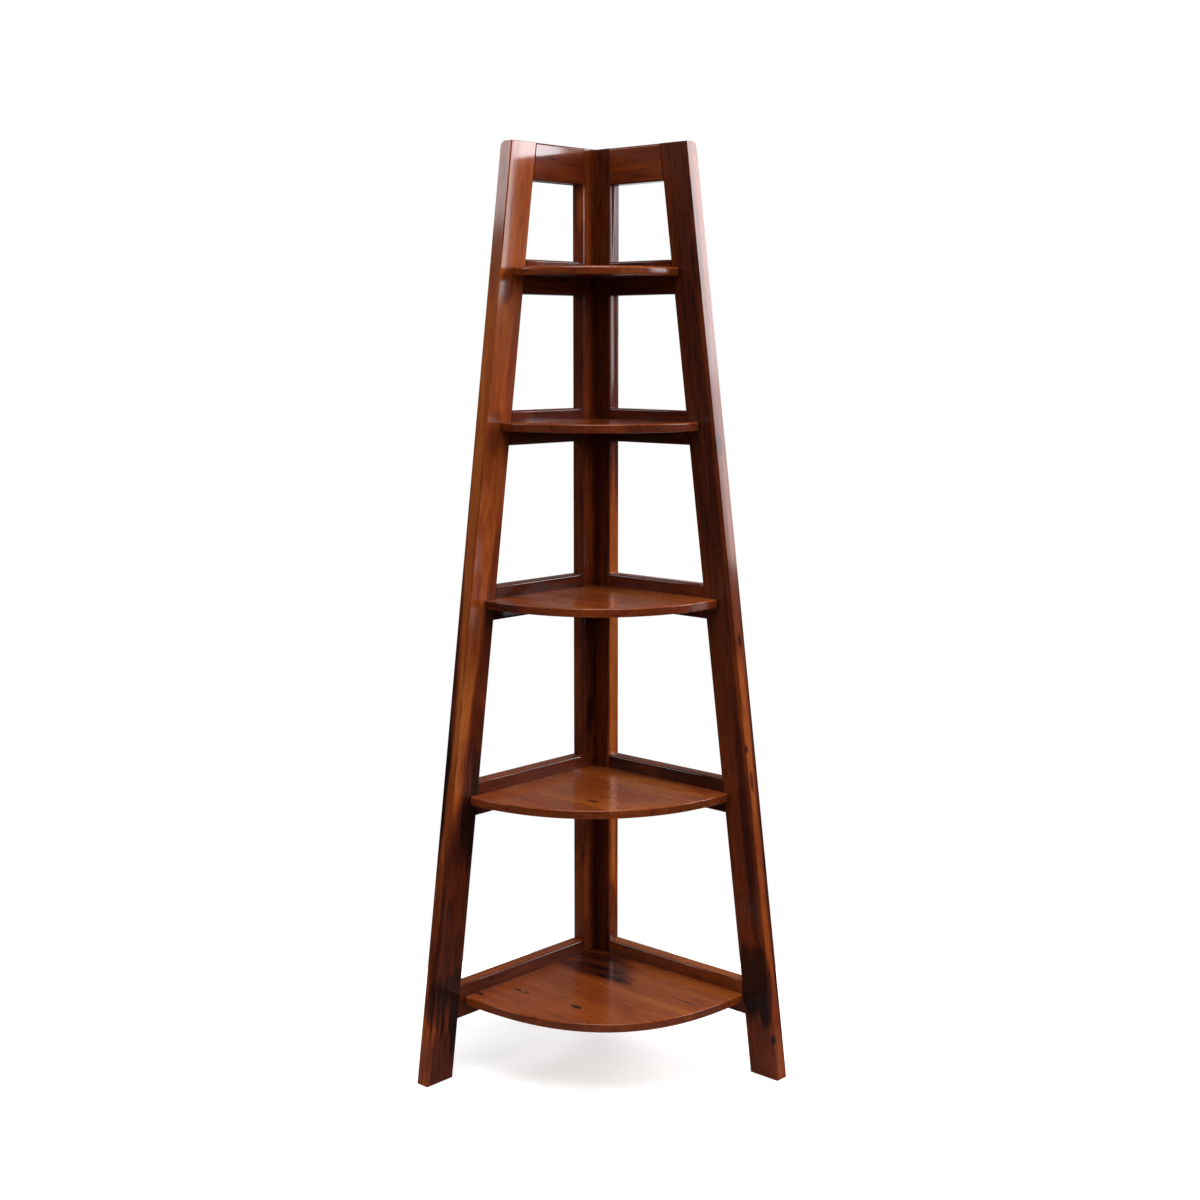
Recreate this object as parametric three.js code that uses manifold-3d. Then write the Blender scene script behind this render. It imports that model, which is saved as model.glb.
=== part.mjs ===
// Corner ladder shelf in solid hardwood. Two ladder-like side frames meet at a right angle in
// the corner of a room, and five fan-shaped shelves are screwed between them.
// Millimetres, +Z up. The corner of the walls is at -X, +Y. The left frame lies on the wall
// plane at -X and runs towards -Y, the right frame lies on the wall plane at +Y and runs
// towards +X. The origin is the middle of the square footprint, on the floor.
import * as THREE from 'three';
import { mergeVertices } from 'three/addons/utils/BufferGeometryUtils.js';
import Module from 'manifold-3d';

// The two side frames
const HEIGHT = 1524; // floor to the level tops of the frames
const FOOT_REACH = 432; // wall corner to the front of a foot
const TOP_REACH = 222; // wall corner to the front of a leg at the top
const BOARD_THICK = 25; // every board of the frames
const LEG_WIDTH = 56; // across the grain, square to the leg's edges
const STILE_WIDTH = 56; // wall corner to the stile's front edge
const RAIL_WIDTH = 56; // the rails that carry the shelves
const TOP_RAIL_WIDTH = 60;
const LEG_TOP_ROUND = 10; // the leg's top corner on the wall side

// The shelves, counted from the floor: top face as a share of the height, rail standing above
// it as a lip, and how far each tip runs past the rear edge of its leg (below zero: it stops
// short of it)
const SHELF_THICK = 14;
const SHELF_TIP_ROUND = 4;
const SHELF_TOP_1_SHARE = 0.0866;
const SHELF_TOP_2_SHARE = 0.3077;
const SHELF_TOP_3_SHARE = 0.5177;
const SHELF_TOP_4_SHARE = 0.706;
const SHELF_TOP_5_SHARE = 0.8694;
const LIP_1 = 21;
const LIP_2 = 21;
const LIP_3 = 21;
const LIP_4 = 18;
const LIP_5 = 13;
const TIP_PAST_LEFT_LEG_1 = -10;
const TIP_PAST_LEFT_LEG_2 = 20;
const TIP_PAST_LEFT_LEG_3 = 25;
const TIP_PAST_LEFT_LEG_4 = 25;
const TIP_PAST_LEFT_LEG_5 = 30;
const TIP_PAST_RIGHT_LEG_1 = 2;
const TIP_PAST_RIGHT_LEG_2 = 14;
const TIP_PAST_RIGHT_LEG_3 = 30;
const TIP_PAST_RIGHT_LEG_4 = 28;
const TIP_PAST_RIGHT_LEG_5 = 18;

// Mortise and tenon joints
const TENON_THICK = 9;
const TENON_LENGTH = 30;
const TENON_SHOULDER = 8; // rail edge to tenon edge
const TOP_TENON_SHOULDER = 15; // the same above the top rail's tenon, so the mortise stays closed
const FIT = 0.3; // clearance between neighbouring pieces
const OVERRUN = 2; // how far a cutting solid stands out of what it cuts

// Wood screws
const SCREW_LENGTH = 50;
const SCREW_SHANK_RADIUS = 2;
const SCREW_HEAD_RADIUS = 4;
const SCREW_HEAD_DEPTH = 3;
const SCREW_POINT = 6;
const SCREW_SINK = 0.5; // head below the wood's face
const SHELF_SCREW_INSET = 38; // from the stile's front edge, and from the leg's rear edge
const CORNER_SCREW_INSET = 12.5; // from the wall corner
const CORNER_SCREW_LENGTH = 45;

// Counts and plain shares
const CURVE_STEPS = 28;
const ROUND_STEPS = 6;
const SCREW_SIDES = 12;
const CURVE_POWER_1 = 2.7; // power of each shelf's front curve: 2 is a quarter circle
const CURVE_POWER_2 = 2.2;
const CURVE_POWER_3 = 2.45;
const CURVE_POWER_4 = 2.3;
const CURVE_POWER_5 = 2.3;

const SHELVES = [
  {
    top: HEIGHT * SHELF_TOP_1_SHARE,
    lip: LIP_1,
    pastLeft: TIP_PAST_LEFT_LEG_1,
    pastRight: TIP_PAST_RIGHT_LEG_1,
    power: CURVE_POWER_1,
  },
  {
    top: HEIGHT * SHELF_TOP_2_SHARE,
    lip: LIP_2,
    pastLeft: TIP_PAST_LEFT_LEG_2,
    pastRight: TIP_PAST_RIGHT_LEG_2,
    power: CURVE_POWER_2,
  },
  {
    top: HEIGHT * SHELF_TOP_3_SHARE,
    lip: LIP_3,
    pastLeft: TIP_PAST_LEFT_LEG_3,
    pastRight: TIP_PAST_RIGHT_LEG_3,
    power: CURVE_POWER_3,
  },
  {
    top: HEIGHT * SHELF_TOP_4_SHARE,
    lip: LIP_4,
    pastLeft: TIP_PAST_LEFT_LEG_4,
    pastRight: TIP_PAST_RIGHT_LEG_4,
    power: CURVE_POWER_4,
  },
  {
    top: HEIGHT * SHELF_TOP_5_SHARE,
    lip: LIP_5,
    pastLeft: TIP_PAST_LEFT_LEG_5,
    pastRight: TIP_PAST_RIGHT_LEG_5,
    power: CURVE_POWER_5,
  },
];

// Finishes: one glossy red-brown lacquer over a wood that differs from board to board
const wood = (color, roughness) => new THREE.MeshStandardMaterial({ color, roughness, metalness: 0 });
const legWood = () => wood(0x7a3a1c, 0.28);
const stileWood = () => wood(0x4a2014, 0.3);
const railWood = () => wood(0x6a2f1a, 0.3);
const shelfWood = () => wood(0x9a5226, 0.25);
const screwSteel = () => new THREE.MeshStandardMaterial({ color: 0xb8b4a8, roughness: 0.4, metalness: 1 });

const wasm = await Module();
wasm.setup();

// A closed geometry as a solid that can be joined and cut
function solidOf(geometry) {
  const bare = geometry.clone();
  bare.deleteAttribute('normal');
  bare.deleteAttribute('uv');
  const merged = mergeVertices(bare);
  const mesh = new wasm.Mesh({
    numProp: 3,
    vertProperties: merged.attributes.position.array,
    triVerts: merged.index.array,
  });
  return new wasm.Manifold(mesh);
}

function geometryOf(solid) {
  const { vertProperties, triVerts } = solid.getMesh();
  const geometry = new THREE.BufferGeometry();
  geometry.setAttribute('position', new THREE.BufferAttribute(new Float32Array(vertProperties), 3));
  geometry.setIndex(new THREE.BufferAttribute(new Uint32Array(triVerts), 1));
  geometry.computeVertexNormals();
  return geometry;
}

function pieceOf(name, solid, material) {
  const mesh = new THREE.Mesh(geometryOf(solid), material);
  mesh.name = name;
  return mesh;
}

// A flat outline pulled up along Z from one level to another
function slab(points, from, to) {
  const shape = new THREE.Shape(points.map(([x, y]) => new THREE.Vector2(x, y)));
  const geometry = new THREE.ExtrudeGeometry(shape, { depth: to - from, bevelEnabled: false });
  geometry.translate(0, 0, from);
  return geometry;
}

// Each frame is drawn flat: x runs out from the wall corner (towards -x on the left frame),
// y is the height, and z is the depth from the wall face into the room.
const LEFT = -1;
const RIGHT = 1;

function plate(side, outline, nearWall = 0, farFromWall = BOARD_THICK) {
  return solidOf(slab(outline.map(([out, height]) => [side * out, height]), nearWall, farFromWall));
}

// The slanted leg
const slopePerHeight = (TOP_REACH - FOOT_REACH) / HEIGHT;
const legAcross = LEG_WIDTH * Math.hypot(1, slopePerHeight); // the leg's level width
const legFront = (height) => FOOT_REACH + slopePerHeight * height;
const legRear = (height) => legFront(height) - legAcross;

// The joints: a tenon lies in the middle of the board and follows the edge that it enters
const tenonNear = (BOARD_THICK - TENON_THICK) / 2;
const tenonFar = (BOARD_THICK + TENON_THICK) / 2;
const stileEdge = () => STILE_WIDTH;

function tenonOutline(edge, into, low, high, root, grow) {
  const start = (height) => edge(height) - into * root;
  const end = (height) => edge(height) + into * (TENON_LENGTH + grow);
  const bottom = low - grow;
  const top = high + grow;
  return [[start(bottom), bottom], [end(bottom), bottom], [end(top), top], [start(top), top]];
}

// A rail's tenons start inside its own wood and the shoulders stand off by the fit
function railSolid(side, rail) {
  const { low, high, tenonLow, tenonHigh } = rail;
  const body = plate(side, [
    [stileEdge() + FIT, low],
    [legRear(low) - FIT, low],
    [legRear(high) - FIT, high],
    [stileEdge() + FIT, high],
  ]);
  const root = FIT + OVERRUN;
  const legTenon = tenonOutline(legRear, 1, tenonLow, tenonHigh, root, 0);
  const stileTenon = tenonOutline(stileEdge, -1, tenonLow, tenonHigh, root, 0);
  return body
    .add(plate(side, legTenon, tenonNear, tenonFar))
    .add(plate(side, stileTenon, tenonNear, tenonFar));
}

function mortise(side, edge, into, rail) {
  const outline = tenonOutline(edge, into, rail.tenonLow, rail.tenonHigh, OVERRUN, FIT);
  return plate(side, outline, tenonNear - FIT, tenonFar + FIT);
}

const shelfRails = SHELVES.map(({ top, lip }) => {
  const high = top + lip;
  const low = high - RAIL_WIDTH;
  return { low, high, tenonLow: low + TENON_SHOULDER, tenonHigh: high - TENON_SHOULDER };
});
const topRail = {
  low: HEIGHT - TOP_RAIL_WIDTH,
  high: HEIGHT,
  tenonLow: HEIGHT - TOP_RAIL_WIDTH + TENON_SHOULDER,
  tenonHigh: HEIGHT - TOP_TENON_SHOULDER,
};
const allRails = [...shelfRails, topRail];

// The edge of a leg's top that faces the wall is rounded over
function legTopProfile(side) {
  const reach = FOOT_REACH + OVERRUN;
  const outline = [[BOARD_THICK, 0], [BOARD_THICK, HEIGHT]];
  for (let step = 0; step <= ROUND_STEPS; step += 1) {
    const angle = (step / ROUND_STEPS) * (Math.PI / 2);
    outline.push([
      LEG_TOP_ROUND * (1 - Math.sin(angle)),
      HEIGHT - LEG_TOP_ROUND * (1 - Math.cos(angle)),
    ]);
  }
  outline.push([0, 0]);
  // Drawn as depth and height, pulled along x, then turned so that the depth lies on z
  const geometry = slab(outline.map(([depth, height]) => [-depth, height]), 0, reach);
  geometry.rotateY(Math.PI / 2);
  if (side === LEFT) geometry.translate(-reach, 0, 0);
  return solidOf(geometry);
}

function legSolid(side) {
  const blank = plate(side, [
    [legRear(0), 0],
    [legFront(0), 0],
    [legFront(HEIGHT), HEIGHT],
    [legRear(HEIGHT), HEIGHT],
  ]);
  return allRails.reduce(
    (leg, rail) => leg.subtract(mortise(side, legRear, 1, rail)),
    blank.intersect(legTopProfile(side)),
  );
}

// The two stiles are mitred lengthways where they meet in the corner
function stileSolid(side) {
  const mitreStand = (FIT / 2) * Math.SQRT2;
  const section = [
    [mitreStand, 0],
    [STILE_WIDTH, 0],
    [STILE_WIDTH, BOARD_THICK],
    [BOARD_THICK + mitreStand, BOARD_THICK],
  ];
  const geometry = slab(section.map(([out, depth]) => [side * out, -depth]), 0, HEIGHT);
  geometry.rotateX(-Math.PI / 2);
  return allRails.reduce(
    (stile, rail) => stile.subtract(mortise(side, stileEdge, -1, rail)),
    solidOf(geometry),
  );
}

// A countersunk screw along its own +z, head first; grow makes the hole that clears it
function screwSolid(length, grow) {
  const head = SCREW_HEAD_RADIUS + grow;
  const shank = SCREW_SHANK_RADIUS + grow;
  const reach = length + grow;
  const mouth = grow > 0 ? -OVERRUN : 0;
  const profile = [
    [0, mouth],
    [head, mouth],
    [head, grow],
    [shank, SCREW_HEAD_DEPTH + grow],
    [shank, reach - SCREW_POINT],
    [0, reach],
  ];
  const distinct = profile.filter((point, i) => i === 0
    || Math.hypot(point[0] - profile[i - 1][0], point[1] - profile[i - 1][1]) > 0);
  const geometry = new THREE.LatheGeometry(
    distinct.map(([radius, along]) => new THREE.Vector2(radius, along)),
    SCREW_SIDES,
  );
  geometry.rotateX(Math.PI / 2);
  return solidOf(geometry);
}

// Where the shelf screws stand in a frame, as distance out and height
function shelfScrewPlaces({ top }) {
  const height = top - SHELF_THICK / 2;
  return [STILE_WIDTH + SHELF_SCREW_INSET, legRear(height) - SHELF_SCREW_INSET]
    .map((out) => [out, height]);
}

const shelfScrewHole = screwSolid(SCREW_LENGTH, FIT);
const cornerScrewHole = screwSolid(CORNER_SCREW_LENGTH, FIT);

function screwPiece(name, length, out, height) {
  const screw = pieceOf(name, screwSolid(length, 0), screwSteel());
  screw.position.set(out, height, SCREW_SINK);
  return screw;
}

function drilled(solid, side, places) {
  return places.reduce(
    (rest, [out, height]) => rest.subtract(shelfScrewHole.translate([side * out, height, SCREW_SINK])),
    solid,
  );
}

// Corner screws stand in the middle of each bay between two rails. They enter the left stile
// from its wall face and end in the right stile.
const cornerScrewHeights = shelfRails.map((rail, i) => (rail.high + allRails[i + 1].low) / 2);

// The holes in the left stile's drawing. In the right frame's drawing the depth and the
// distance from the corner change places, which is a quarter turn about the height.
function cornerHoles(side) {
  const holes = cornerScrewHeights
    .map((height) => cornerScrewHole.translate([LEFT * CORNER_SCREW_INSET, height, SCREW_SINK]))
    .reduce((all, one) => all.add(one));
  return side === LEFT ? holes : holes.rotate([0, 90, 0]);
}

// A shelf: two straight edges against the frames and a full, fan-like front curve
function shelfOutline({ top, pastLeft, pastRight, power }) {
  const back = BOARD_THICK + FIT;
  const leftTip = legRear(top) + pastLeft;
  const rightTip = legRear(top) + pastRight;
  const outline = [[back, back]];
  const tipArc = (centreOut, centreIn, from) => {
    for (let step = 0; step <= ROUND_STEPS; step += 1) {
      const angle = from + (step / ROUND_STEPS) * (Math.PI / 2);
      outline.push([
        centreOut + SHELF_TIP_ROUND * Math.cos(angle),
        centreIn + SHELF_TIP_ROUND * Math.sin(angle),
      ]);
    }
  };
  tipArc(rightTip - SHELF_TIP_ROUND, back + SHELF_TIP_ROUND, -Math.PI / 2);
  for (let step = 1; step < CURVE_STEPS; step += 1) {
    const angle = (step / CURVE_STEPS) * (Math.PI / 2);
    const alongRight = (rightTip - back) * Math.cos(angle) ** (2 / power);
    const alongLeft = (leftTip - back) * Math.sin(angle) ** (2 / power);
    if (Math.min(alongRight, alongLeft) > SHELF_TIP_ROUND) {
      outline.push([back + alongRight, back + alongLeft]);
    }
  }
  tipArc(back + SHELF_TIP_ROUND, leftTip - SHELF_TIP_ROUND, Math.PI / 2);
  return outline;
}

const cornerX = -FOOT_REACH / 2;
const cornerY = FOOT_REACH / 2;

const frames = { left: new THREE.Group(), right: new THREE.Group() };
frames.left.rotation.set(Math.PI / 2, Math.PI / 2, 0);
frames.right.rotation.set(Math.PI / 2, 0, 0);

for (const [word, side] of [['left', LEFT], ['right', RIGHT]]) {
  const frame = frames[word];
  frame.position.set(cornerX, cornerY, 0);
  frame.add(pieceOf(`${word}_leg`, legSolid(side), legWood()));
  frame.add(pieceOf(`${word}_stile`, stileSolid(side).subtract(cornerHoles(side)), stileWood()));
  frame.add(pieceOf(`${word}_top_rail`, railSolid(side, topRail), railWood()));
  shelfRails.forEach((rail, i) => {
    const places = shelfScrewPlaces(SHELVES[i]);
    frame.add(pieceOf(`${word}_rail_${i + 1}`, drilled(railSolid(side, rail), side, places), railWood()));
    places.forEach(([out, height], end) => {
      const name = `${word}_screw_${i + 1}_${['back', 'front'][end]}`;
      frame.add(screwPiece(name, SCREW_LENGTH, side * out, height));
    });
  });
}
cornerScrewHeights.forEach((height, i) => {
  const name = `corner_screw_${i + 1}`;
  frames.left.add(screwPiece(name, CORNER_SCREW_LENGTH, LEFT * CORNER_SCREW_INSET, height));
});

// The shelves are drawn from above: x along the right wall, y away from it
const shelfGroup = new THREE.Group();
shelfGroup.position.set(cornerX, cornerY, 0);
SHELVES.forEach((shelf, i) => {
  const outline = shelfOutline(shelf).map(([out, into]) => [out, -into]);
  const blank = solidOf(slab(outline, shelf.top - SHELF_THICK, shelf.top));
  const solid = shelfScrewPlaces(shelf).reduce((rest, [out, height]) => {
    const fromRight = shelfScrewHole.rotate([90, 0, 0]).translate([out, -SCREW_SINK, height]);
    const fromLeft = shelfScrewHole.rotate([0, 90, 0]).translate([SCREW_SINK, -out, height]);
    return rest.subtract(fromRight).subtract(fromLeft);
  }, blank);
  shelfGroup.add(pieceOf(`shelf_${i + 1}`, solid, shelfWood()));
});

const shelfUnit = new THREE.Group();
shelfUnit.add(frames.left, frames.right, shelfGroup);

export default shelfUnit;
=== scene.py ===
"""The finish of a corner ladder shelf: two slanted side frames of glossy red-brown hardwood,
five fan-shaped shelves between them, and the screws that hold them."""
import math

import bmesh
import bpy
from mathutils import Euler, Matrix, Vector

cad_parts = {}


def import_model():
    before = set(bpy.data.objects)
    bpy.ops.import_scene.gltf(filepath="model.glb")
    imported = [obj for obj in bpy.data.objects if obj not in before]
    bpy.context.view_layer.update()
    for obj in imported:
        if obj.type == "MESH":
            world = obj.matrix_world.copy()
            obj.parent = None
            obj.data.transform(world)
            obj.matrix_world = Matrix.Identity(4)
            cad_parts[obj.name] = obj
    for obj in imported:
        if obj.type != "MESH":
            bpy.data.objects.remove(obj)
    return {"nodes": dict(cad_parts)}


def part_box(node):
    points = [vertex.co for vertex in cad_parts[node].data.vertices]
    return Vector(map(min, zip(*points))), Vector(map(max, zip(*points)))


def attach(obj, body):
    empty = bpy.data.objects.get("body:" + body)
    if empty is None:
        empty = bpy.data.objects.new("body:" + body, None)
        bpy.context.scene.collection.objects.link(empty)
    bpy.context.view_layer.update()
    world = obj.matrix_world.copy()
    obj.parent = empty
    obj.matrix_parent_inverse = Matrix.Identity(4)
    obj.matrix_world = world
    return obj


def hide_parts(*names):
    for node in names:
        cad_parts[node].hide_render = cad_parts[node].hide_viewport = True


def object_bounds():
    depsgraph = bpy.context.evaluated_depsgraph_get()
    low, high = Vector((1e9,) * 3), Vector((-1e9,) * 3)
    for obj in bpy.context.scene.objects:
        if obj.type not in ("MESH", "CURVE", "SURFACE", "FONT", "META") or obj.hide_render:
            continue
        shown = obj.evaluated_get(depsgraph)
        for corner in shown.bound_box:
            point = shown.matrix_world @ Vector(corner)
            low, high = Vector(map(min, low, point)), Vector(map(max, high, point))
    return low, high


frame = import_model()
cad_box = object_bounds()
nodes = frame["nodes"]
low_corner, high_corner = Vector(cad_box[0]), Vector(cad_box[1])
HEIGHT = high_corner.z - low_corner.z
WALL_X = low_corner.x  # the left frame lies against this wall plane
WALL_Y = high_corner.y  # the right frame lies against this one

# Millimetres, for the sizes below
MM = 0.001

# How far each kind of edge is rounded over
LEG_EASE = 2.1 * MM
LEG_CORNER_EASE = 1.6 * MM
STILE_EASE = 2.5 * MM
RAIL_EASE = 3.2 * MM
END_EASE = 0.8 * MM
SHELF_EASE = 2.4 * MM
SHELF_UNDER_EASE = 1.6 * MM
TOP_SHELF_EASE = 4.6 * MM
TOP_SHELF_UNDER_EASE = 3.4 * MM
HIDDEN_EASE = 0.3 * MM  # a shelf's edges that lie against the rails
WIDEST_EASE = RAIL_EASE
EASE_STEPS = 4

ARRIS_ANGLE = math.radians(40)
SMOOTH_ANGLE = math.radians(38)
FLAT_ANGLE = math.radians(0.4)
WELD = 0.01 * MM
TOUCH = 0.05 * MM  # how near a point lies to a plane that it is on
MITRE_CLOSED = 0.17 * MM  # how far each stile's mitre face comes towards the other
BOARD_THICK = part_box("left_leg")[1].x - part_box("left_leg")[0].x
LEG_CORNER = 10 * MM  # the round of a leg's top corner
TIP_FADE = 2.5 * MM  # over which a shelf's rounding fades out towards the rails

LEFT, RIGHT = "left", "right"
SHELF_NUMBERS = (1, 2, 3, 4, 5)

# The leg's slope, from its foot to its top
leg_top_out = max(v.co.x for v in nodes["right_leg"].data.vertices if v.co.z > HEIGHT - MM)
LEG_LEAN = math.atan2(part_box("right_leg")[1].x - leg_top_out, HEIGHT)


# Modelling

def pick_only(piece):
    bpy.ops.object.select_all(action="DESELECT")
    piece.select_set(True)
    bpy.context.view_layer.objects.active = piece


def edit(piece):
    pick_only(piece)
    bpy.ops.object.mode_set(mode="EDIT")
    bpy.ops.mesh.select_mode(type="EDGE")
    bpy.ops.mesh.select_all(action="DESELECT")


def stop_editing():
    bpy.ops.object.mode_set(mode="OBJECT")


def select_level_face(piece, level):
    """Selects the flat face that lies at one level"""
    shape = bmesh.from_edit_mesh(piece.data)
    for face in shape.faces:
        middle = face.calc_center_median()
        face.select_set(abs(face.normal.z) > 0.9 and near(middle.z, level))
    bmesh.update_edit_mesh(piece.data)


def merged_copy(name, node):
    """A copy of a CAD solid, its loose triangles joined into flat faces"""
    piece = bpy.data.objects.new(name, nodes[node].data.copy())
    piece.data.materials.clear()
    bpy.context.scene.collection.objects.link(piece)
    edit(piece)
    bpy.ops.mesh.select_all(action="SELECT")
    bpy.ops.mesh.remove_doubles(threshold=WELD)
    bpy.ops.mesh.normals_make_consistent(inside=False)
    bpy.ops.mesh.dissolve_limited(angle_limit=FLAT_ANGLE)
    bpy.ops.mesh.select_all(action="DESELECT")
    stop_editing()
    return piece


def ease(piece, width_of):
    """Rounds each sharp outer edge by width_of(end, end), and marks the roundings, where the finish
    darkens them with stain and painted shade
    """
    edit(piece)
    shape = bmesh.from_edit_mesh(piece.data)
    share = shape.edges.layers.float.new("bevel_weight_edge")
    for edge in shape.edges:
        if len(edge.link_faces) == 2 and edge.calc_face_angle_signed(0) > ARRIS_ANGLE:
            edge[share] = width_of(edge.verts[0].co, edge.verts[1].co) / WIDEST_EASE
    bmesh.update_edit_mesh(piece.data)
    stop_editing()

    # Two empty slots, so that the rounded faces can be told from the plain ones
    plain, rounded = 0, 1
    for slot in (plain, rounded):
        piece.data.materials.append(None)
    bevel = piece.modifiers.new("eased edges", "BEVEL")
    bevel.limit_method = "WEIGHT"
    bevel.width = WIDEST_EASE
    bevel.segments = EASE_STEPS
    bevel.material = rounded
    bevel.use_clamp_overlap = False
    bpy.ops.object.modifier_apply(modifier=bevel.name)

    flat = {i for face in piece.data.polygons if face.material_index == plain for i in face.vertices}
    rounding_mark = piece.data.attributes.new("arris", "FLOAT", "POINT")
    for i, mark in enumerate(rounding_mark.data):
        mark.value = 0.0 if i in flat else 1.0
    for face in piece.data.polygons:
        face.material_index = plain
    piece.data.materials.clear()


def smooth(piece):
    """Round where it is rounded, flat where it is flat"""
    pick_only(piece)
    bpy.ops.object.shade_smooth_by_angle(angle=SMOOTH_ANGLE)
    weights = piece.modifiers.new("flat faces lead", "WEIGHTED_NORMAL")
    weights.keep_sharp = True
    bpy.ops.object.modifier_apply(modifier=weights.name)


def near(value, target):
    return abs(value - target) < TOUCH


def depth_of(side, point):
    """How far a point stands off the wall plane of its frame"""
    return point.x - WALL_X if side == LEFT else WALL_Y - point.y


def out_of(side, point):
    """How far a point lies from the corner of the walls, along its frame"""
    return WALL_Y - point.y if side == LEFT else point.x - WALL_X


def on_one_face(side, a, b):
    """Whether an edge lies in the outer or the inner face of its frame"""
    depth = depth_of(side, a)
    return near(depth, depth_of(side, b)) and (near(depth, 0) or near(depth, BOARD_THICK))


def on_an_end(a, b):
    return near(a.z, b.z) and (near(a.z, 0) or near(a.z, HEIGHT))


def leg(side):
    piece = merged_copy(f"{side}_leg_board", f"{side}_leg")
    slope = math.tan(LEG_LEAN)
    upright = [out_of(side, v.co) + slope * v.co.z for v in piece.data.vertices]
    front, rear = max(upright), min(upright)

    def width_of(a, b):
        if on_an_end(a, b):
            return END_EASE
        if not on_one_face(side, a, b):
            return 0.0
        across = [out_of(side, p) + slope * p.z for p in (a, b)]
        if all(near(v, front) for v in across) or all(abs(v - rear) < 6 * TOUCH for v in across):
            return LEG_EASE
        return LEG_CORNER_EASE if min(a.z, b.z) > HEIGHT - LEG_CORNER - MM else 0.0

    ease(piece, width_of)
    return piece


def stile(side):
    piece = merged_copy(f"{side}_stile_board", f"{side}_stile")

    # The glue closes the mitre between the two stiles
    edit(piece)
    bpy.ops.mesh.select_mode(type="VERT")
    shape = bmesh.from_edit_mesh(piece.data)
    for v in shape.verts:
        v.select_set(abs(out_of(side, v.co) - depth_of(side, v.co)) < 0.5 * MM)
    bmesh.update_edit_mesh(piece.data)
    closer = (0, MITRE_CLOSED, 0) if side == LEFT else (-MITRE_CLOSED, 0, 0)
    bpy.ops.transform.translate(value=closer)
    stop_editing()
    reach = max(out_of(side, v.co) for v in piece.data.vertices)

    def width_of(a, b):
        if on_an_end(a, b):
            return END_EASE
        on_front = all(near(out_of(side, p), reach) for p in (a, b))
        return STILE_EASE if on_front and on_one_face(side, a, b) else 0.0

    ease(piece, width_of)
    return piece


def rail(side, word):
    piece = merged_copy(f"{side}_{word}_board", f"{side}_{word}")
    low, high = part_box(f"{side}_{word}")

    def width_of(a, b):
        level = near(a.z, b.z) and (near(a.z, low.z) or near(a.z, high.z))
        return RAIL_EASE if level and on_one_face(side, a, b) else 0.0

    ease(piece, width_of)
    return piece


def round_rim(piece, level, width_at):
    """Rounds the whole rim of a level face, each corner by its own width_at(corner)"""
    edit(piece)
    bpy.ops.mesh.select_mode(type="FACE")
    select_level_face(piece, level)
    shape = bmesh.from_edit_mesh(piece.data)
    rounding_mark = shape.verts.layers.float.get("arris") or shape.verts.layers.float.new("arris")
    face = next(f for f in shape.faces if f.select)
    out = face.normal.copy()
    corners = [v.co.copy() for v in face.verts]
    rim = []
    for before, corner, after in zip(corners[-1:] + corners, corners, corners[1:] + corners[:1]):
        arriving = out.cross((corner - before).normalized())
        leaving = out.cross((after - corner).normalized())
        rim.append((corner, (arriving + leaving) / (1 + arriving.dot(leaving)), width_at(corner)))

    for step in range(EASE_STEPS + 1):
        if step > 0:
            order = dict(zip((v.co.to_tuple() for v in face.verts), order))
            bpy.ops.mesh.extrude_region_move(TRANSFORM_OT_translate={"value": (0, 0, 0)})
            shape = bmesh.from_edit_mesh(piece.data)
            rounding_mark = shape.verts.layers.float["arris"]
            face = next(f for f in shape.faces if f.select)
            order = [order[v.co.to_tuple()] for v in face.verts]
        else:
            order = list(range(len(rim)))
        turn = step / EASE_STEPS * math.pi / 2
        for v, i in zip(face.verts, order):
            corner, inward, width = rim[i]
            v.co = corner + inward * width * (1 - math.cos(turn)) - out * width * (1 - math.sin(turn))
            v[rounding_mark] = 1.0 if 0 < step < EASE_STEPS else 0.0
        bmesh.update_edit_mesh(piece.data)
    stop_editing()


def shelf(number):
    piece = merged_copy(f"shelf_{number}_board", f"shelf_{number}")
    low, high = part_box(f"shelf_{number}")
    highest = number == SHELF_NUMBERS[-1]

    def fading(width):
        def width_at(corner):
            clear = min(corner.x - low.x, high.y - corner.y)
            return HIDDEN_EASE + min(max(clear / TIP_FADE, 0.0), 1.0) * (width - HIDDEN_EASE)
        return width_at

    round_rim(piece, high.z, fading(TOP_SHELF_EASE if highest else SHELF_EASE))
    round_rim(piece, low.z, fading(TOP_SHELF_UNDER_EASE if highest else SHELF_UNDER_EASE))
    return piece


# Finishes

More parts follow.
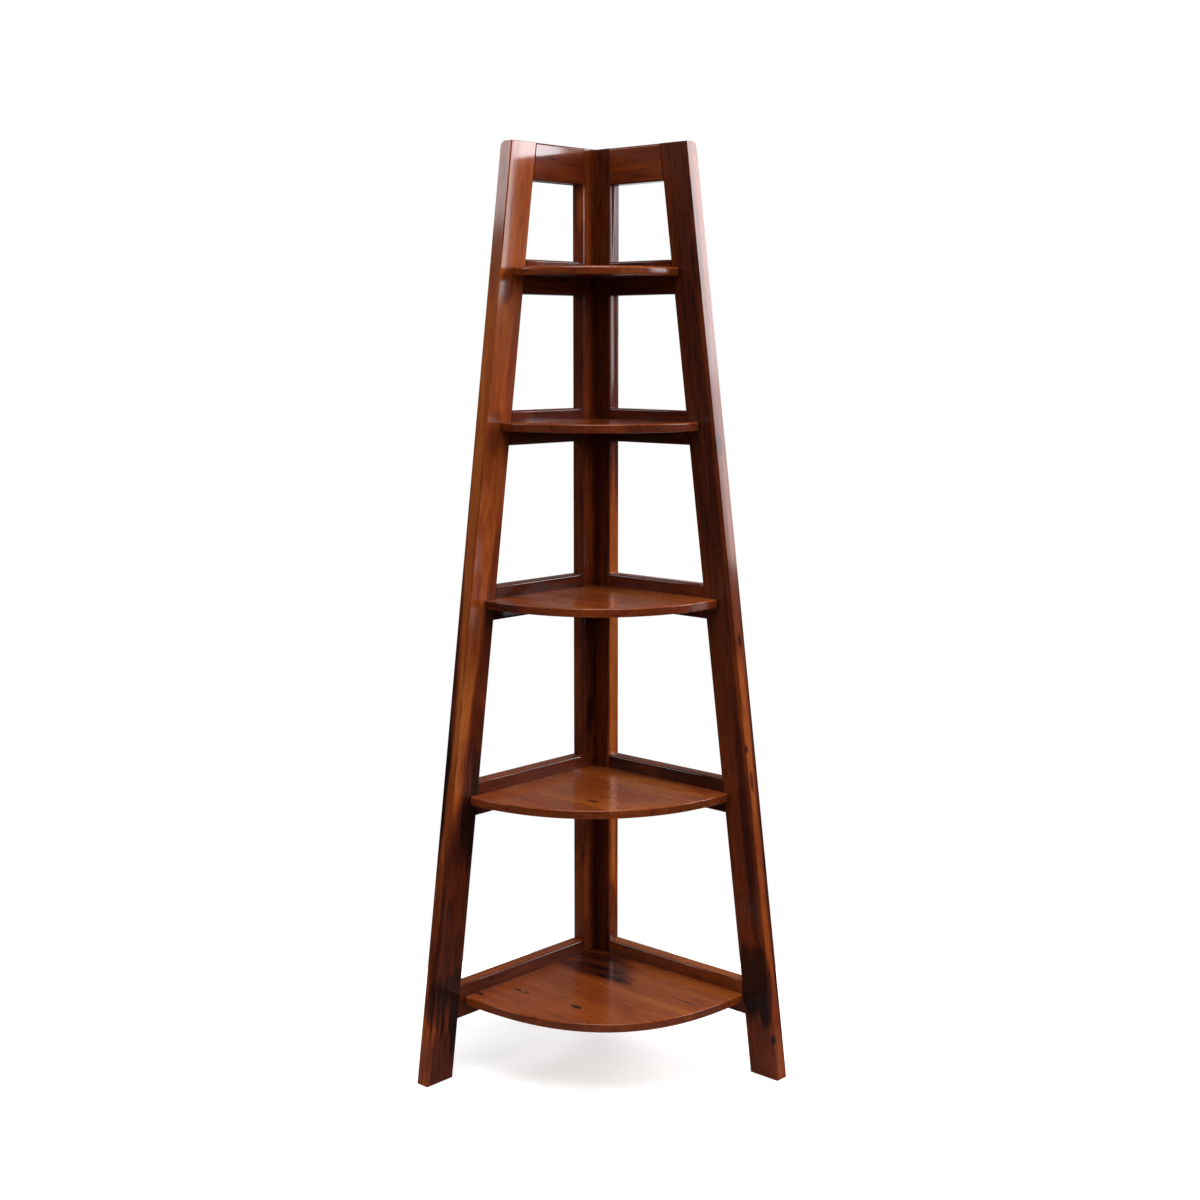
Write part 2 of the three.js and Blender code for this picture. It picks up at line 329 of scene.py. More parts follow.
class Tree:
    """Shader nodes that are added one at a time"""

    def __init__(self, tree):
        self.tree = tree
        tree.nodes.clear()

    def add(self, kind, settings=(), **inputs):
        node = self.tree.nodes.new("ShaderNode" + kind)
        for key, value in dict(settings).items():
            setattr(node, key, value)
        for key, value in inputs.items():
            socket = node.inputs[int(key[1:])] if key[0] == "i" and key[1:].isdigit() else node.inputs[key]
            if isinstance(value, bpy.types.NodeSocket):
                self.tree.links.new(value, socket)
            else:
                socket.default_value = value
        return node.outputs

    def math(self, operation, a, b=0.0, c=0.0):
        return self.add("Math", {"operation": operation}, i0=a, i1=b, i2=c)[0]

    def vector(self, operation, a, b):
        return self.add("VectorMath", {"operation": operation}, i0=a, i1=b)[0]

    def length(self, vector):
        return self.add("VectorMath", {"operation": "LENGTH"}, i0=vector)["Value"]

    def spread(self, value, low, high, to_low=0.0, to_high=1.0):
        """A value between two limits, eased and stretched to two others"""
        return self.add(
            "MapRange", {"interpolation_type": "SMOOTHSTEP"},
            i0=value, i1=low, i2=high, i3=to_low, i4=to_high,
        )[0]

    def push(self, dark, figure, weight):
        """Moves a darkness up and down with a figure that swings about a half"""
        return self.math("MULTIPLY_ADD", self.math("SUBTRACT", figure, 0.5), weight, dark)

    def noise(self, vector, across, along, detail=3.0, roughness=0.5):
        """Noise with so many waves to the metre across the grain and along it"""
        stretched = self.add("Mapping", i0=vector, i3=(across, across, along))[0]
        return self.add("TexNoise", Vector=stretched, Scale=1.0, Detail=detail, Roughness=roughness)[0]

    def blend(self, share, a, b):
        node = self.tree.nodes.new("ShaderNodeMix")
        node.data_type = "RGBA"
        for socket, value in ((node.inputs[0], share), (node.inputs[6], a), (node.inputs[7], b)):
            if isinstance(value, bpy.types.NodeSocket):
                self.tree.links.new(value, socket)
            else:
                socket.default_value = value
        return node.outputs[2]


def finish(name):
    material = bpy.data.materials.new(name)
    material.use_nodes = True
    return material, Tree(material.node_tree)


# The wood's colours, from pale sapwood to the heart
HONEY = (0.37, 0.100, 0.020, 1)
AMBER = (0.24, 0.048, 0.0085, 1)
RUSSET = (0.125, 0.023, 0.0060, 1)
MAROON = (0.050, 0.0088, 0.0042, 1)
HEART = (0.014, 0.0040, 0.0032, 1)
WOOD_STOPS = ((0.0, HONEY), (0.3, AMBER), (0.55, RUSSET), (0.8, MAROON), (1.0, HEART))

# How the grain of each kind of board is turned up to run along Z
GRAIN = {
    "left_leg": (LEG_LEAN, 0, 0),
    "right_leg": (0, LEG_LEAN, 0),
    "left_stile": (0, 0, 0),
    "right_stile": (0, 0, 0),
    "left_rail": (math.pi / 2, 0, 0),
    "right_rail": (0, -math.pi / 2, 0),
    "shelf": (0, -math.pi / 2, 0),
}


FIGURE_FULL = 0.7  # the share of its reach inside which a figure shows in full
FIGURE_GONE = 1.15
GLUE_LINE = 0.3 * MM  # half the width over which the tone changes there
NEXT_BOARD = (0.31, 0.17, 0.53)  # how far off the next strip's grain is taken
# How far from the rails a shelf's painted contact shadow reaches
SHADE_BESIDE_RAILS = 6 * MM
WANDER = 35 * MM  # how far the grain wanders
PLANED_WAVES = 0.3 * MM
GRAIN_RELIEF = 0.05 * MM
PORE_DEPTH = 0.08 * MM
SCRATCH_DEPTH = 0.02 * MM


def add_figures_and_painted_light(f, dark, turned, grain, ragged, figures_and_painted_light):
    """Streaks and knots, and painted shadows and highlights: each a ragged ellipsoid in the wood, darker
    or paler than what is round it
    """
    for centre, reach, darker in figures_and_painted_light:
        middle = Euler(grain).to_matrix() @ Vector(centre)
        scale = [1 / r for r in reach]
        away = f.add("Mapping", i0=turned, i1=[-c * s for c, s in zip(middle, scale)], i3=scale)[0]
        inside = f.spread(f.math("ADD", f.length(away), ragged), FIGURE_GONE, FIGURE_FULL)
        dark = f.math("MULTIPLY_ADD", inside, darker, dark)
    return dark


def add_strips(f, dark, place, along, strips):
    """Glued strips: past each glue line the tone changes, and the grain is another board's"""
    from_wall = f.math("SUBTRACT", WALL_Y, f.add("SeparateXYZ", Vector=place)["Y"])
    for line, darker in strips:
        past = f.spread(from_wall, line - GLUE_LINE, line + GLUE_LINE)
        dark = f.math("MULTIPLY_ADD", past, darker, dark)
        moved = f.add("VectorMath", {"operation": "SCALE"}, i0=NEXT_BOARD, Scale=past)[0]
        along = f.vector("ADD", along, moved)
    return dark, along


def along_rails(f, place):
    """1 beside the inner faces of the rails, fading to 0 within a few millimetres: where a shelf gets its
    painted contact shadow
    """
    off = f.add("SeparateXYZ", Vector=place)
    off_left = f.math("SUBTRACT", off["X"], WALL_X + BOARD_THICK)
    off_right = f.math("SUBTRACT", WALL_Y - BOARD_THICK, off["Y"])
    return f.spread(f.math("MINIMUM", off_left, off_right), SHADE_BESIDE_RAILS, 0.5 * MM)


def lacquered_wood(
    name, grain, seed, tone, contrast=1.0, flecks=0.25, blur=0.12, lacquer=0.85, painted_top_light=0.0, painted_shade=0.0,
    strips=(), figures_and_painted_light=(),
):
    """Hardwood under gloss lacquer.

    tone runs from 0, honey, to 1, dark heart, and flecks is how far the short dark dashes show.
    blur is the roughness of the lacquer, lacquer how full its coat is, and crown how much paler the
    top face is painted: painted light on the tops.
    gathered is how much darker a shelf is painted along the rails, a painted contact shadow, and on its
    upright rim, painted shade.
    strips are (distance from the right wall, darker by) pairs: where a panel's strips are glued.
    figures are (centre, reach, darker by), each reach across, across and along the grain: wood figure, and
    some painted shadows and highlights.
    """
    material, f = finish(name)
    place = f.add("TexCoord")["Object"]
    turned = f.add("Mapping", i0=place, i2=grain)[0]
    shift = (0.37 * seed % 1.7, 0.61 * seed % 1.3, 0.83 * seed % 2.1)
    dark, along = add_strips(f, tone, place, f.add("Mapping", i0=turned, i1=shift)[0], strips)

    # Slow wandering of the grain
    slow = f.add("Mapping", i0=along, i3=(6, 6, 1.1))[0]
    drift = f.add("TexNoise", Vector=slow, Scale=1.0, Detail=2.0)["Color"]
    wander = f.add("VectorMath", {"operation": "SCALE"}, i0=drift, Scale=WANDER)[0]
    wood = f.vector("ADD", along, wander)

    # Growth rings, cut nearly along the log
    rings = f.add(
        "TexWave", {"wave_type": "RINGS", "rings_direction": "Z", "wave_profile": "SAW"},
        Vector=f.add("Mapping", i0=wood, i3=(1, 1, 0.06))[0], Scale=26.0, Distortion=2.2, Detail=3.0,
    )["Fac"]
    clouds = f.noise(wood, 14, 2.6, 3.0, 0.55)
    streaks = f.noise(wood, 55, 2.2, 4.0, 0.6)
    mottle = f.noise(wood, 130, 26, 3.0, 0.6)
    hairs = f.noise(wood, 420, 7, 2.0, 0.7)
    dashes = f.spread(f.noise(wood, 300, 17, 2.0, 0.6), 0.56, 0.72)

    figure_weights = ((clouds, 1.05), (streaks, 0.7), (mottle, 0.4), (rings, 0.1), (hairs, 0.3))
    for figure, weight in figure_weights:
        dark = f.push(dark, figure, weight * contrast)
    ragged = f.push(f.push(0.0, clouds, 1.6), streaks, 1.2)
    dark = add_figures_and_painted_light(f, dark, turned, grain, ragged, figures_and_painted_light)
    dark = f.math("MULTIPLY_ADD", dashes, flecks, dark)
    normal = f.add("NewGeometry")["Normal"]
    up = f.add("SeparateXYZ", Vector=normal)["Z"]
    # Upward faces are painted paler: painted light on the tops
    dark = f.math("MULTIPLY_ADD", f.spread(up, 0.75, 0.95), -painted_top_light, dark)
    # Painted shade: a painted contact shadow beside the rails, and the upright rim painted darker
    if painted_shade:
        rim = f.spread(f.math("ABSOLUTE", up), 0.4, 0.15, 0.0, 0.55)
        dark = f.math("MULTIPLY_ADD", f.math("MAXIMUM", along_rails(f, place), rim), painted_shade, dark)

    figured = f.add("ValToRGB", Fac=dark)[0]
    ramp = figured.node.color_ramp.elements
    (ramp[0].position, ramp[0].color), (ramp[1].position, ramp[1].color) = WOOD_STOPS[0], WOOD_STOPS[-1]
    for position, colour in WOOD_STOPS[1:-1]:
        ramp.new(position).color = colour

    # Open pores: short dark lines that the lacquer half fills
    pores = f.spread(f.noise(wood, 900, 30, 1.0), 0.64, 0.74)
    colour = f.blend(f.math("MULTIPLY", pores, 0.5), figured, HEART)

    # The arrises darken, partly with stain that gathers there and partly with painted shade, broken up by
    # rubbing; a shelf's keep little of it
    least, most = (0.0, 0.12) if painted_shade else (0.15, 0.65)
    arris = f.add("Attribute", {"attribute_name": "arris"})["Fac"]
    arris_stain_and_shade = f.spread(f.noise(along, 30, 9), 0.42, 0.62, least, most)
    colour = f.blend(f.math("MULTIPLY", arris, arris_stain_and_shade), colour, MAROON)

    # End grain drinks the stain
    facing = f.add("Mapping", i0=normal, i2=grain)[0]
    end = f.spread(f.math("ABSOLUTE", f.add("SeparateXYZ", Vector=facing)["Z"]), 0.75, 0.95, 0.0, 0.3)
    colour = f.blend(end, colour, HEART)

    smears = f.noise(along, 22, 7, 4.0, 0.6)
    gloss = f.spread(f.push(smears, hairs, 0.3), 0.25, 0.75, 0.18, 0.36)

    # Planing leaves the faces slightly wavy across the grain
    wave = f.noise(along, 28, 2.4, 2.0, 0.4)
    planed = f.add("Bump", Strength=1.0, Distance=PLANED_WAVES, Height=wave)["Normal"]
    ridged = f.add("Bump", Strength=0.5, Distance=GRAIN_RELIEF, Height=hairs, Normal=planed)["Normal"]
    pitted = f.add(
        "Bump", {"invert": True}, Strength=0.7, Distance=PORE_DEPTH, Height=pores, Normal=ridged,
    )["Normal"]

    shader = f.add(
        "BsdfPrincipled", Roughness=gloss, Normal=pitted, **{
            "Base Color": colour, "IOR": 1.5, "Specular IOR Level": 0.06, "Coat Weight": lacquer,
            "Coat Roughness": blur, "Coat IOR": 1.5, "Coat Normal": planed,
        },
    )[0]
    f.add("OutputMaterial", Surface=shader)
    return material


def zinc_steel():
    """Zinc plate, dulled and scratched by the driver"""
    material, f = finish("zinc_steel")
    place = f.add("TexCoord")["Object"]
    dull = f.noise(place, 600, 600, 4.0, 0.6)
    scratch = f.noise(place, 3000, 200, 2.0)
    tint = f.blend(f.spread(dull, 0.35, 0.7), (0.62, 0.60, 0.55, 1), (0.40, 0.38, 0.34, 1))
    rough = f.spread(dull, 0.3, 0.7, 0.28, 0.5)
    bump = f.add("Bump", Strength=0.4, Distance=SCRATCH_DEPTH, Height=scratch)["Normal"]
    shader = f.add(
        "BsdfPrincipled", Roughness=rough, Normal=bump, **{"Base Color": tint, "Metallic": 1.0},
    )[0]
    f.add("OutputMaterial", Surface=shader)
    return material


# Screws

HEAD_SIDES = 32
HEAD_RADIUS = 3.9 * MM
HEAD_DEPTH = 3 * MM
HEAD_EASE = 0.25 * MM
SHANK_RADIUS = 1.9 * MM
POINT = 6 * MM  # the length of the screw's point
POINT_SHARE = 0.08  # how blunt it is
DRIVEN_TURN = 2.4  # radians by which each recess is turned on from the one before
RECESS_ARM = 0.9 * MM
RECESS_REACH = 2.4 * MM
RECESS_DEPTH = 1.6 * MM


def master_screw(name, length):
    """A countersunk screw along +Z, its head at the origin, with a cross recess"""
    bpy.ops.mesh.primitive_cylinder_add(
        vertices=HEAD_SIDES, radius=HEAD_RADIUS, depth=HEAD_DEPTH, location=(0, 0, HEAD_DEPTH / 2),
    )
    screw = bpy.context.object
    screw.name = name
    pick_only(screw)
    bpy.ops.object.transform_apply(location=True, rotation=True, scale=True)
    edit(screw)
    bpy.ops.mesh.select_mode(type="FACE")
    select_level_face(screw, HEAD_DEPTH)
    bpy.ops.transform.resize(value=(SHANK_RADIUS / HEAD_RADIUS, SHANK_RADIUS / HEAD_RADIUS, 1))
    for stretch in (length - HEAD_DEPTH - POINT, POINT):
        bpy.ops.mesh.extrude_region_move(TRANSFORM_OT_translate={"value": (0, 0, stretch)})
    bpy.ops.transform.resize(value=(POINT_SHARE, POINT_SHARE, 1))
    select_level_face(screw, 0)
    bpy.ops.mesh.bevel(offset=HEAD_EASE, segments=2, affect="EDGES")
    stop_editing()

    bpy.ops.mesh.primitive_cube_add(size=1, location=(0, 0, RECESS_DEPTH / 2 - MM / 2))
    cutter = bpy.context.object
    pick_only(cutter)
    bpy.ops.transform.resize(value=(RECESS_ARM, RECESS_ARM, RECESS_DEPTH + MM))
    bpy.ops.object.transform_apply(location=True, rotation=True, scale=True)
    edit(cutter)
    bpy.ops.mesh.select_mode(type="FACE")
    shape = bmesh.from_edit_mesh(cutter.data)
    for face in shape.faces:
        face.select_set(abs(face.normal.z) < 0.5)
    bmesh.update_edit_mesh(cutter.data)
    bpy.ops.mesh.extrude_faces_move(TRANSFORM_OT_shrink_fatten={"value": RECESS_REACH - RECESS_ARM / 2})
    stop_editing()

    pick_only(screw)
    cut = screw.modifiers.new("cross recess", "BOOLEAN")
    cut.operation = "DIFFERENCE"
    cut.solver = "EXACT"
    cut.object = cutter
    bpy.ops.object.modifier_apply(modifier=cut.name)
    bpy.data.objects.remove(cutter)
    bpy.ops.object.shade_smooth_by_angle(angle=SMOOTH_ANGLE)
    return screw


def screw_copy(master, node, side, turn):
    """The screw of one CAD node, its head towards the wall and its recess turned by chance"""
    low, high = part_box(node)
    middle = (low + high) / 2
    aim = Matrix.Rotation(math.pi / 2, 4, "Y") if side == LEFT else Matrix.Rotation(math.pi / 2, 4, "X")
    head = Vector((low.x, middle.y, middle.z)) if side == LEFT else Vector((middle.x, high.y, middle.z))
    piece = bpy.data.objects.new(f"{node}_head", master.data.copy())
    piece.data.transform(Matrix.Translation(head) @ aim @ Matrix.Rotation(turn, 4, "Z"))
    bpy.context.scene.collection.objects.link(piece)
    return piece


# Putting the pieces in the frame

def put(piece, node, material):
    if not piece.data.materials:
        piece.data.materials.append(material)
    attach(piece, "root")
    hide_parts(node)


# Streaks, heartwood and knots, with a few painted shadows and a painted highlight: centre, reach across,
# across and along the grain, and darker by
FIGURES_AND_PAINTED_LIGHT = {
    "left_leg": (
        ((-0.2035, -0.148, 0.272), (0.060, 0.060, 0.200), 0.50),
        ((-0.2035, -0.169, 0.132), (0.060, 0.050, 0.052), 0.30),
        ((-0.200, -0.072, 0.650), (0.040, 0.025, 0.270), 0.42),
        ((-0.200, -0.110, 0.490), (0.040, 0.028, 0.120), 0.30),
        ((-0.196, -0.122, 0.600), (0.016, 0.012, 0.190), -0.20),
        # Painted shadow under shelf 5's left tip
        ((-0.190, -0.018, 1.295), (0.010, 0.016, 0.030), 0.34),
        ((-0.204, -0.024, 1.390), (0.012, 0.012, 0.110), 0.20),
        ((-0.191, -0.006, 1.150), (0.012, 0.016, 0.150), 0.16),
        # Painted shadow under shelf 4's left tip
        ((-0.190, -0.050, 1.060), (0.010, 0.020, 0.045), 0.22),
        ((-0.194, -0.073, 0.945), (0.014, 0.013, 0.050), -0.13),
        ((-0.194, -0.104, 0.720), (0.014, 0.013, 0.055), 0.10),
        ((-0.194, -0.090, 0.590), (0.014, 0.014, 0.045), -0.14),
        ((-0.194, -0.130, 0.530), (0.014, 0.013, 0.040), 0.13),
        ((-0.194, -0.158, 0.330), (0.014, 0.013, 0.045), -0.14),
        ((-0.194, -0.143, 0.210), (0.014, 0.014, 0.040), 0.13),
        ((-0.206, -0.166, 0.350), (0.014, 0.006, 0.060), -0.07),
        ((-0.206, -0.088, 0.900), (0.014, 0.030, 0.300), -0.13),
        ((-0.220, -0.122, 0.620), (0.018, 0.060, 0.290), 0.55),
        ((-0.216, -0.150, 0.460), (0.014, 0.030, 0.120), 0.34),
        ((-0.206, -0.172, 0.310), (0.014, 0.014, 0.130), -0.32),
        ((-0.199, -0.210, 0.040), (0.008, 0.009, 0.060), -0.08),
        ((-0.197, -0.180, 0.030), (0.040, 0.040, 0.090), 0.46),
    ),
    "right_leg": (
        ((0.165, 0.184, 0.150), (0.055, 0.018, 0.070), 0.42),
        ((0.190, 0.204, 0.130), (0.020, 0.020, 0.050), 0.08),
        ((-0.030, 0.195, 1.500), (0.040, 0.030, 0.090), -0.02),
        ((0.040, 0.190, 1.180), (0.060, 0.016, 0.420), 0.17),
        ((0.034, 0.190, 1.330), (0.014, 0.012, 0.050), 0.22),
        ((0.110, 0.204, 0.760), (0.009, 0.030, 0.900), -0.22),
        ((0.110, 0.204, 0.775), (0.020, 0.030, 0.085), 0.16),
        ((0.136, 0.199, 0.570), (0.012, 0.011, 0.140), -0.16),
        ((0.172, 0.196, 0.300), (0.012, 0.009, 0.075), -0.06),
        ((0.152, 0.216, 0.430), (0.020, 0.009, 0.420), 0.42),
        ((0.150, 0.188, 0.400), (0.015, 0.010, 0.260), 0.20),
        ((0.195, 0.200, 0.080), (0.020, 0.020, 0.030), 0.08),
        ((0.167, 0.214, 0.354), (0.006, 0.004, 0.012), 0.60),
        ((0.207, 0.192, 0.068), (0.005, 0.0045, 0.008), 0.70),
        ((0.148, 0.199, 0.495), (0.005, 0.004, 0.016), 0.40),
        ((0.140, 0.194, 0.547), (0.004, 0.003, 0.008), 0.60),
        ((0.116, 0.203, 0.724), (0.004, 0.003, 0.010), 0.50),
        ((0.072, 0.200, 1.040), (0.004, 0.010, 0.020), 0.25),
    ),
    "left_stile": (
        # Painted highlight high on the stile's front edge
        ((-0.196, 0.160, 1.440), (0.010, 0.010, 0.060), -0.26),
        ((-0.191, 0.172, 0.630), (0.012, 0.020, 0.150), 0.24),
        ((-0.191, 0.176, 0.560), (0.012, 0.008, 0.035), 0.22),
        ((-0.191, 0.169, 0.270), (0.014, 0.008, 0.100), -0.18),
        ((-0.191, 0.186, 0.215), (0.012, 0.008, 0.120), 0.08),
        ((-0.191, 0.172, 1.400), (0.010, 0.010, 0.120), -0.14),
        ((-0.2035, 0.160, 0.240), (0.016, 0.006, 0.080), -0.15),
        ((-0.2035, 0.160, 0.600), (0.016, 0.006, 0.075), -0.15),
    ),
    "right_stile": (
        ((-0.160, 0.204, 0.620), (0.009, 0.016, 0.560), -0.46),
        ((-0.160, 0.203, 0.600), (0.008, 0.014, 0.220), -0.14),
        ((-0.160, 0.203, 0.335), (0.006, 0.007, 0.080), -0.20),
        ((-0.160, 0.199, 0.175), (0.008, 0.016, 0.090), 0.34),
        ((-0.182, 0.191, 0.620), (0.018, 0.010, 0.220), -0.12),
    ),
    "left_rail_5": (
        ((-0.191, 0.116, 1.332), (0.020, 0.020, 0.036), 0.16),
    ),
    "right_rail_2": (
        ((0.025, 0.191, 0.480), (0.020, 0.020, 0.060), 0.18),
    ),
    "right_rail_5": (
        ((-0.116, 0.191, 1.332), (0.020, 0.020, 0.036), 0.12),
    ),
    "shelf_1": (
        ((-0.118, 0.100, 0.132), (0.014, 0.028, 0.098), 0.44),
        ((-0.134, 0.140, 0.132), (0.014, 0.034, 0.075), 0.38),
        ((0.030, 0.100, 0.132), (0.014, 0.070, 0.080), -0.08),
        ((-0.060, 0.094, 0.132), (0.014, 0.015, 0.050), 0.30),
        # Painted shade in the back corner
        ((-0.180, 0.180, 0.132), (0.014, 0.050, 0.080), 0.26),
        ((-0.023, -0.040, 0.132), (0.008, 0.0045, 0.011), 0.75),
        ((-0.147, -0.050, 0.132), (0.006, 0.0035, 0.009), 0.60),
        ((-0.127, -0.049, 0.132), (0.005, 0.0025, 0.006), 0.45),
        ((-0.181, -0.105, 0.132), (0.008, 0.005, 0.010), 0.55),
    ),
    "shelf_2": (
        ((-0.010, 0.146, 0.469), (0.014, 0.050, 0.090), -0.18),
        ((-0.040, 0.060, 0.469), (0.014, 0.040, 0.080), 0.08),
        ((-0.024, 0.001, 0.469), (0.008, 0.0035, 0.012), 0.60),
    ),
    "shelf_3": (
        ((-0.150, -0.078, 0.782), (0.030, 0.014, 0.070), 0.22),
        ((-0.020, 0.150, 0.789), (0.014, 0.050, 0.080), -0.10),
        ((-0.080, 0.070, 0.789), (0.014, 0.040, 0.070), 0.08),
    ),
    "shelf_4": (
        ((-0.050, 0.150, 1.076), (0.014, 0.050, 0.080), 0.16),
        ((-0.150, 0.040, 1.076), (0.014, 0.060, 0.070), -0.14),
    ),
}

# Glue lines of each shelf: distance from the right wall, and darker by from there on
STRIPS = {
    1: ((62 * MM, 0.05), (146 * MM, -0.03), (236 * MM, 0.05)),
    2: ((78 * MM, 0.05), (158 * MM, -0.06), (240 * MM, 0.04)),
    3: ((70 * MM, -0.04), (149 * MM, 0.06), (228 * MM, -0.03)),
    4: ((81 * MM, 0.05), (163 * MM, -0.05)),
    5: ((66 * MM, -0.04), (140 * MM, 0.05)),
}

TONES = {"left_leg": 0.24, "right_leg": 0.60, "left_stile": 0.55, "right_stile": 0.64}
SHELF_TONES = (0.21, 0.21, 0.26, 0.30, 0.28)

# The top rail, then the shelves' rails from the floor up
RAIL_TONES = {
    LEFT: (0.56, 0.68, 0.64, 0.86, 0.70, 0.74),
    RIGHT: (0.44, 0.48, 0.82, 0.63, 0.72, 0.76),
}

for side in (LEFT, RIGHT):
    left = side == LEFT
    boards = (
        ("leg", leg(side), 3 if left else 8, 0.6 if left else 0.45, 0.10, 0.85),
        ("stile", stile(side), 12 if left else 17, 0.6, 0.08, 0.85 if left else 0.5),
    )
    for kind, board, seed, contrast, blur, lacquer in boards:
        smooth(board)
        word = f"{side}_{kind}"
        put(board, word, lacquered_wood(
            f"{word}_wood", GRAIN[word], seed, TONES[word], contrast, blur=blur, lacquer=lacquer,
            figures_and_painted_light=FIGURES_AND_PAINTED_LIGHT[word],
        ))
    for i, word in enumerate(["top_rail"] + [f"rail_{k}" for k in SHELF_NUMBERS]):
        board = rail(side, word)
        smooth(board)
        # The rails' tops are painted paler: painted light
        put(board, f"{side}_{word}", lacquered_wood(
            f"{side}_{word}_wood", GRAIN[f"{side}_rail"], 21 + 5 * i + 2 * (not left), RAIL_TONES[side][i],
            contrast=0.7, blur=0.07, painted_top_light=0.34, figures_and_painted_light=FIGURES_AND_PAINTED_LIGHT.get(f"{side}_{word}", ()),
        ))

for number in SHELF_NUMBERS:
    board = shelf(number)
    smooth(board)
    word = f"shelf_{number}"
    # Each shelf is painted darker beside the rails and on its rim: painted shade
    put(board, word, lacquered_wood(
        f"{word}_wood", GRAIN["shelf"], 60 + 7 * number, SHELF_TONES[number - 1], contrast=0.5,
        flecks=0.3, blur=0.17, painted_shade=0.35, strips=STRIPS[number], figures_and_painted_light=FIGURES_AND_PAINTED_LIGHT.get(word, ()),
    ))

steel = zinc_steel()
masters = {}
turn = 0.0
for node in sorted(nodes):
    if "screw" not in node:
        continue
    side = RIGHT if node.startswith(RIGHT) else LEFT
    low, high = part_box(node)
    length = round(max(high - low), 5)
    if length not in masters:
        masters[length] = master_screw(f"screw_{len(masters)}", length)
    turn += DRIVEN_TURN
    put(screw_copy(masters[length], node, side, turn), node, steel)
for master in masters.values():
    bpy.data.objects.remove(master)


# The studio

CAMERA_PLACE = Vector((1.8311, -2.0046, 1.2024))
CAMERA_AIM = Vector((-0.6684, 0.7293, -0.1463))
CAMERA_LENS = 52.01
WHITE = (1, 1, 1, 1)


def camera():
    data = bpy.data.cameras.new("camera")
    data.lens = CAMERA_LENS
    data.sensor_width = 36
    data.clip_end = 60
    seen = bpy.data.objects.new("camera", data)
    seen.location = CAMERA_PLACE
    seen.rotation_euler = CAMERA_AIM.to_track_quat("-Z", "Y").to_euler()
    bpy.context.scene.collection.objects.link(seen)
    bpy.context.scene.camera = seen


def soft_lamp(name, place, aim, width, height, power, colour=(1, 1, 1), mirrored=True):
    data = bpy.data.lights.new(name, "AREA")
    data.shape = "RECTANGLE"
    data.size = width
    data.size_y = height
    data.energy = power
    data.color = colour
    lamp = bpy.data.objects.new(name, data)
    lamp.location = place
    lamp.rotation_euler = (aim - place).to_track_quat("-Z", "Y").to_euler()
    lamp.visible_camera = False
    lamp.visible_glossy = mirrored
    bpy.context.scene.collection.objects.link(lamp)


def around(azimuth, elevation, distance, height=0.9):
    """A place around the object, azimuth from +X towards +Y"""
    a, e = math.radians(azimuth), math.radians(elevation)
    return Vector((
        distance * math.cos(a) * math.cos(e),
        distance * math.sin(a) * math.cos(e),
        distance * math.sin(e) + height,
    ))


def window(name, azimuth, distance, sill, width, height, power):
    """An upright lamp behind the right frame that stands on its sill"""
    place = around(azimuth, 0, distance, sill + height / 2)
    soft_lamp(name, place, Vector((0, 0, place.z)), width, height, power, (0.97, 0.96, 1.0))


def lamps():
    middle = Vector((0, 0, 0.9))
    window("window", 60.5, 5.0, 1.89, 1.5, 2.16, 93)
    window("lower_pane", 60.5, 5.0, 1.05, 1.5, 0.84, 23)
    window("high_window", 38.5, 2.2, 1.345, 0.82, 1.315, 23.2)
    window("side_pane", 50.0, 2.2, 1.52, 0.14, 0.6, 4.2)
    window("low_window", 43, 2.2, 0.36, 0.42, 0.26, 0.5)
    soft_lamp("far_sky", around(222, 26, 4.2, 1.1), middle, 1.6, 1.2, 31, (0.97, 0.97, 1.0))
    soft_lamp("sky", around(-50, 68, 3.2), middle, 2.4, 2.4, 85, (1.0, 0.98, 0.97))
    soft_lamp("front_fill", around(-95, 12, 4.2), middle, 2.2, 2.6, 34, (1.0, 0.97, 0.94), mirrored=False)
    soft_lamp("side_fill", around(10, 20, 4.2), middle, 2.2, 2.6, 84, (1.0, 0.97, 0.94), mirrored=False)
    soft_lamp("back_fill", around(135, 15, 4.2), middle, 2.2, 2.6, 60, (1.0, 0.98, 0.96), mirrored=False)


ROOM_FRONT = 0.04
ROOM_BEHIND = 0.10


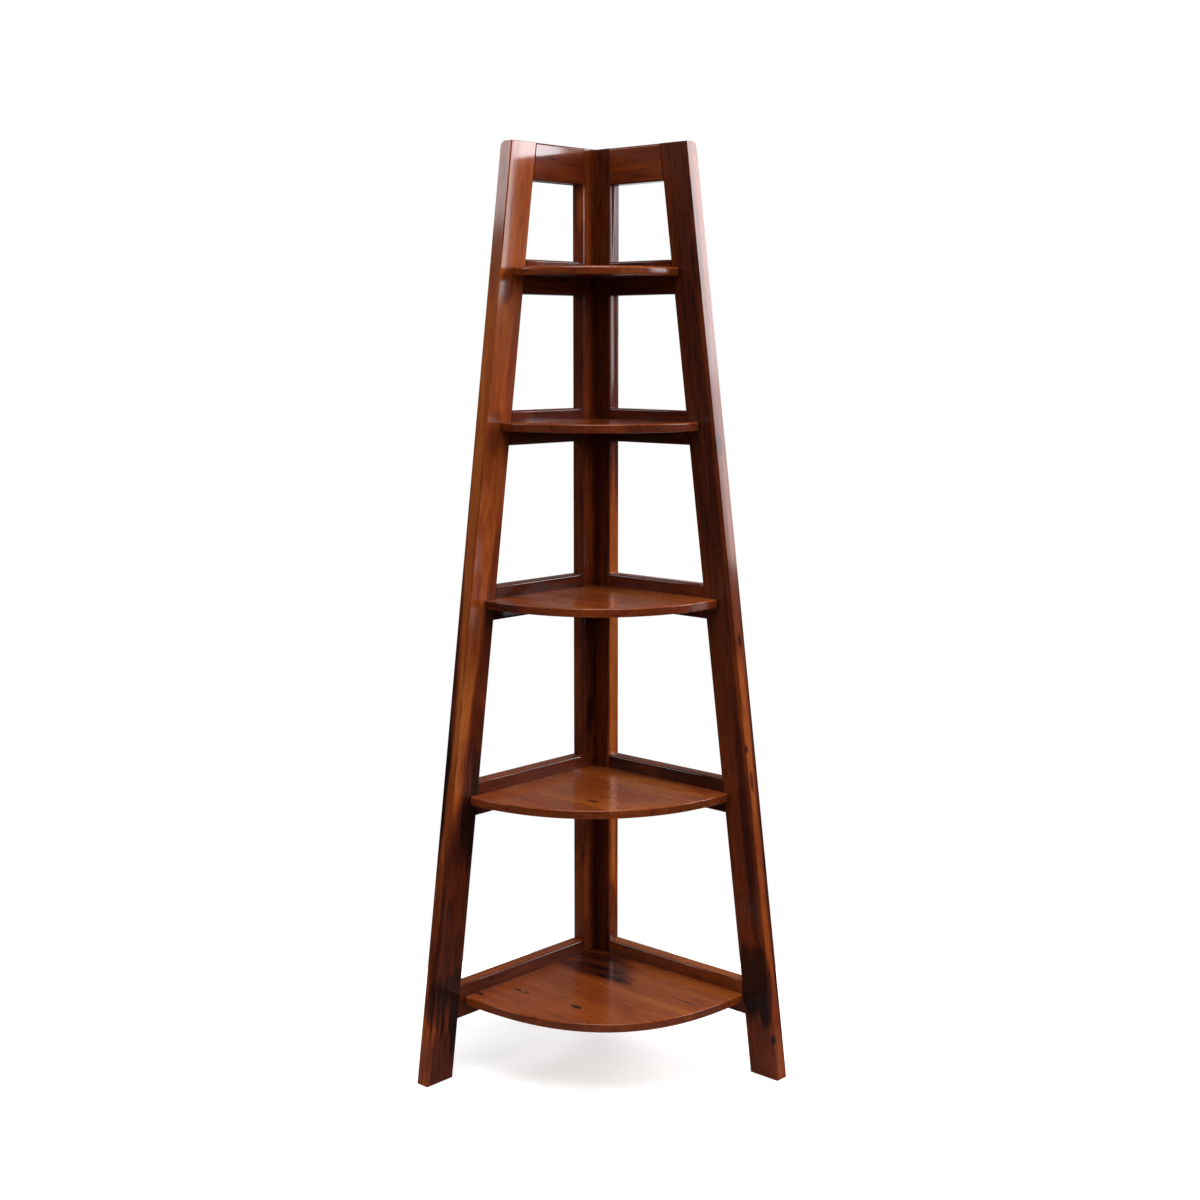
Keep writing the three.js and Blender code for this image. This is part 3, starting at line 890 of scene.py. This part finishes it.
def world():
    """A dim room, paler behind the object, that is white where the camera or glass looks at it,
    and where a shelf mirrors the foot of the backdrop"""
    made = bpy.data.worlds.new("studio")
    made.use_nodes = True
    bpy.context.scene.world = made
    t = Tree(made.node_tree)
    looks = t.add("LightPath")
    x, y, z = t.add("SeparateXYZ", Vector=t.add("TexCoord")["Generated"])
    ahead = t.math("ADD", t.math("MULTIPLY", x, -0.68), t.math("MULTIPLY", y, 0.74))
    sideways = t.math("ADD", t.math("MULTIPLY", x, 0.74), t.math("MULTIPLY", y, 0.68))
    right = t.math("MULTIPLY", t.math("GREATER_THAN", ahead, 0.8), t.spread(sideways, -0.02, 0.05))
    foot = t.math("MULTIPLY", right, t.math("LESS_THAN", z, 0.11))
    mirrored = t.math("MULTIPLY", looks["Is Glossy Ray"], foot)
    seen = t.math("MAXIMUM", looks["Is Camera Ray"], looks["Is Transmission Ray"])
    level = t.spread(ahead, 0.3, 0.9, ROOM_FRONT, ROOM_BEHIND)
    room = t.add("Background", Color=(1, 0.97, 0.95, 1), Strength=level)[0]
    backdrop = t.add("Background", Color=WHITE, Strength=1.0)[0]
    mixed = t.add("MixShader", i0=t.math("MAXIMUM", seen, mirrored), i1=room, i2=backdrop)[0]
    t.add("OutputWorld", Surface=mixed)


FLOOR_RADIUS = 0.62
FLOOR_SIDES = 96
FLOOR_THICK = 20 * MM
FLOOR_PLAIN = 0.34  # inside this radius the floor keeps the full shadow
FLOOR_GLOW = 0.55  # how much of its white the floor has without the lamps
FLOOR_MIRRORED = 0.06  # how much of that glow the lacquer shows
FLOOR_PAINT = (0.82, 0.82, 0.82, 1)
FLOOR_PAINT_MIRRORED = (0.10, 0.09, 0.085, 1)


def floor():
    """A round pale floor that runs out into the white ground around it"""
    bpy.ops.mesh.primitive_circle_add(
        vertices=FLOOR_SIDES, radius=FLOOR_RADIUS, fill_type="NGON", location=(0, 0, 0),
    )
    ground = bpy.context.object
    ground.name = "floor"
    edit(ground)
    bpy.ops.mesh.select_all(action="SELECT")
    bpy.ops.mesh.extrude_region_move(TRANSFORM_OT_translate={"value": (0, 0, -FLOOR_THICK)})
    bpy.ops.mesh.select_all(action="SELECT")
    bpy.ops.mesh.normals_make_consistent(inside=False)
    stop_editing()
    material, f = finish("pale_floor")
    rim = f.spread(f.length(f.add("TexCoord")["Object"]), FLOOR_PLAIN, FLOOR_RADIUS * 0.97)
    looks = f.add("LightPath")
    mirrored = f.math("MULTIPLY", looks["Is Glossy Ray"], FLOOR_MIRRORED)
    straight = f.math("MAXIMUM", looks["Is Camera Ray"], looks["Is Transmission Ray"])
    seen = f.math("MAXIMUM", mirrored, straight)
    paint = f.blend(looks["Is Glossy Ray"], FLOOR_PAINT, FLOOR_PAINT_MIRRORED)
    matt = f.add("BsdfDiffuse", Color=paint)[0]
    glow = f.math("MULTIPLY", seen, f.math("MAXIMUM", rim, FLOOR_GLOW))
    bright = f.add("Emission", Color=WHITE, Strength=glow)[0]
    f.add("OutputMaterial", Surface=f.add("AddShader", i0=matt, i1=bright)[0])
    ground.data.materials.append(material)


camera()
lamps()
world()
floor()
bpy.context.scene.view_settings.view_transform = "Standard"
